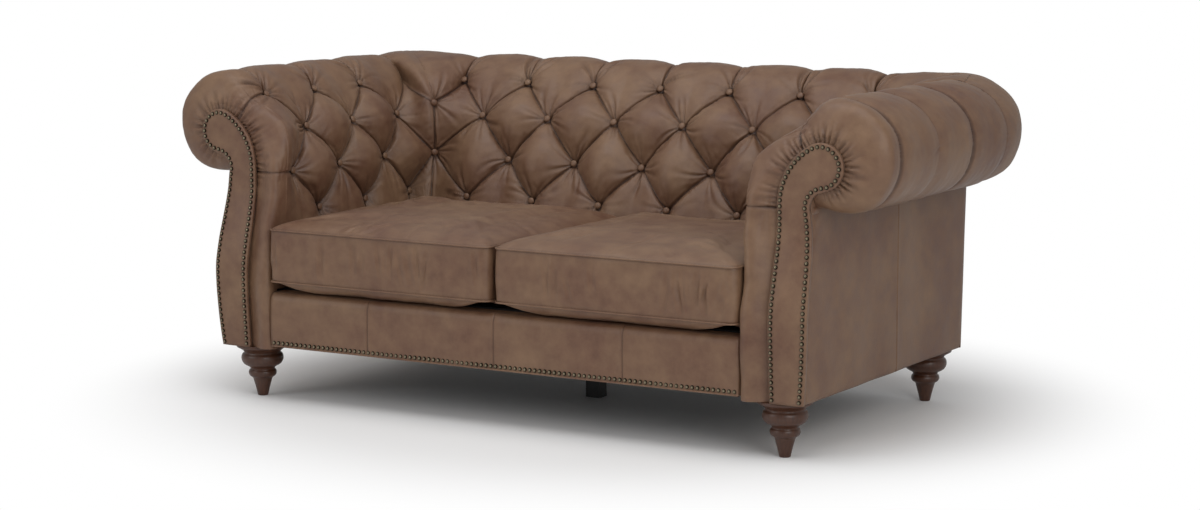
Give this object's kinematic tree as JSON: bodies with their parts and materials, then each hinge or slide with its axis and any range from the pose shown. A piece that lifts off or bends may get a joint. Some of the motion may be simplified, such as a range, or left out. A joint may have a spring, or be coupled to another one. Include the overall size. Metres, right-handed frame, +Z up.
{
  "type": "leather sofa",
  "caption": "Two-seat deep-buttoned leather sofa with rolled arms and back, scroll facings, loose seat cushions and turned feet.",
  "frame": {"origin": "on the floor under the middle of the sofa's outline", "axes": "+X to the right as seen from the front, +Y to the back, +Z up"},
  "size_m": [1.908, 1.0072, 0.792],
  "materials": {
    "leather": "satin",
    "walnut_feet": "gloss",
    "black_leg": "satin",
    "frame_timber": "matte",
    "steel": "satin",
    "platform_cloth": "matte",
    "cushion_foam": "matte"
  },
  "bodies": {
    "frame": {"back_buttons": "leather", "back_cover": "leather", "back_posts": "frame_timber", "back_roll_core": "frame_timber", "back_tack_rail": "frame_timber", "centre_leg": "black_leg", "centre_rail": "frame_timber", "dust_cover": "platform_cloth", "foot_blocks": "frame_timber", "foot_bolts": "steel", "front_rail": "frame_timber", "front_rail_cover": "leather", "glue_blocks": "frame_timber", "left_arm_buttons": "leather", "left_arm_cover": "leather", "left_arm_facing": "leather", "left_arm_front_post": "frame_timber", "left_arm_rear_post": "frame_timber", "left_arm_roll_core": "frame_timber", "left_arm_scroll_board": "frame_timber", "left_arm_tack_rail": "frame_timber", "left_arm_top_rail": "frame_timber", "left_front_foot": "walnut_feet", "left_outside_arm_panel": "leather", "left_rear_foot": "walnut_feet", "left_side_rail": "frame_timber", "outside_back_panel": "leather", "rear_rail": "frame_timber", "right_arm_buttons": "leather", "right_arm_cover": "leather", "right_arm_facing": "leather", "right_arm_front_post": "frame_timber", "right_arm_rear_post": "frame_timber", "right_arm_roll_core": "frame_timber", "right_arm_scroll_board": "frame_timber", "right_arm_tack_rail": "frame_timber", "right_arm_top_rail": "frame_timber", "right_front_foot": "walnut_feet", "right_outside_arm_panel": "leather", "right_rear_foot": "walnut_feet", "right_side_rail": "frame_timber", "seat_deck": "platform_cloth", "seat_springs": "steel", "spring_clips": "steel"},
    "left_cushion": {"left_cushion_case": "leather", "left_cushion_foam": "cushion_foam"},
    "right_cushion": {"right_cushion_case": "leather", "right_cushion_foam": "cushion_foam"}
  },
  "joints": [
    {"name": "left_cushion_lift", "type": "slide", "parent": "frame", "child": "left_cushion", "axis": [0, 0, 1], "range_m": [0, 0.25]},
    {"name": "right_cushion_lift", "type": "slide", "parent": "frame", "child": "right_cushion", "axis": [0, 0, 1], "range_m": [0, 0.25]}
  ]
}
